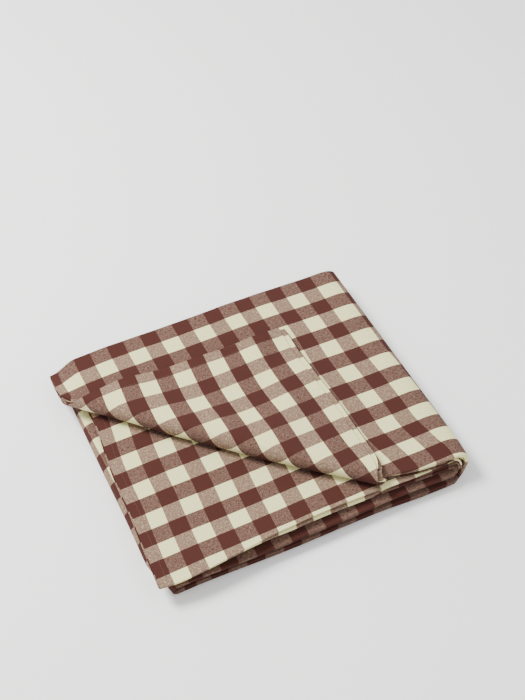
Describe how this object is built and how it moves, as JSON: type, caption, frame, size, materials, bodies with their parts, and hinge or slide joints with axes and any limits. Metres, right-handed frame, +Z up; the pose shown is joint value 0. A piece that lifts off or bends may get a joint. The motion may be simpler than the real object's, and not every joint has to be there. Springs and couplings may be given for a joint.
{
  "type": "folded tablecloth",
  "caption": "Gingham cotton tablecloth folded into a flat rectangular stack, with one corner of the top leaf turned back diagonally; it opens like a book",
  "frame": {"origin": "middle of the folded cloth's footprint, on the surface it lies on", "axes": "+X towards the folds on the right, +Y towards the back, +Z up"},
  "size_m": [0.35, 0.316, 0.0484],
  "materials": {
    "gingham": "yarn-dyed plain weave, matt",
    "hem": "double turned hem in the same plain weave, matt",
    "stitching": "spun sewing thread, matt"
  },
  "bodies": {
    "lower_half": {"bottom_leaf_lower_plies": "gingham", "bottom_leaf_upper_plies": "gingham", "third_leaf_lower_plies": "gingham", "third_leaf_upper_plies": "gingham", "left_fold_outer_plies": "gingham", "left_fold_inner_plies": "gingham", "outer_right_fold_outer_plies": "gingham", "outer_right_fold_inner_plies": "gingham", "inner_right_fold_outer_plies": "gingham", "inner_right_fold_inner_plies": "gingham"},
    "upper_half": {"second_leaf_lower_plies": "gingham", "second_leaf_upper_plies": "gingham", "second_leaf_hem": "hem", "second_leaf_hem_stitches": "stitching", "top_leaf_lower_plies": "gingham", "top_leaf_upper_plies": "gingham", "top_leaf_hem": "hem", "top_leaf_hem_stitches": "stitching", "crease_roll_outer_plies": "gingham", "crease_roll_inner_plies": "gingham"},
    "corner": {"turned_corner_lower_plies": "gingham", "turned_corner_upper_plies": "gingham", "turned_corner_hem": "hem", "turned_corner_hem_stitches": "stitching"}
  },
  "joints": [
    {"name": "book_opening", "type": "hinge", "parent": "lower_half", "child": "upper_half", "pos_m": [0.157, 0, 0.0244], "axis": [0, 1, 0], "range_deg": [0, 180], "deforming": ["outer_right_fold_outer_plies", "outer_right_fold_inner_plies", "inner_right_fold_outer_plies", "inner_right_fold_inner_plies"]},
    {"name": "corner_turning", "type": "hinge", "parent": "upper_half", "child": "corner", "pos_m": [-0.04282, -0.02856, 0.0379], "axis": [0.6997, -0.7145, 0], "range_deg": [0, 179], "deforming": ["crease_roll_outer_plies", "crease_roll_inner_plies"]}
  ]
}
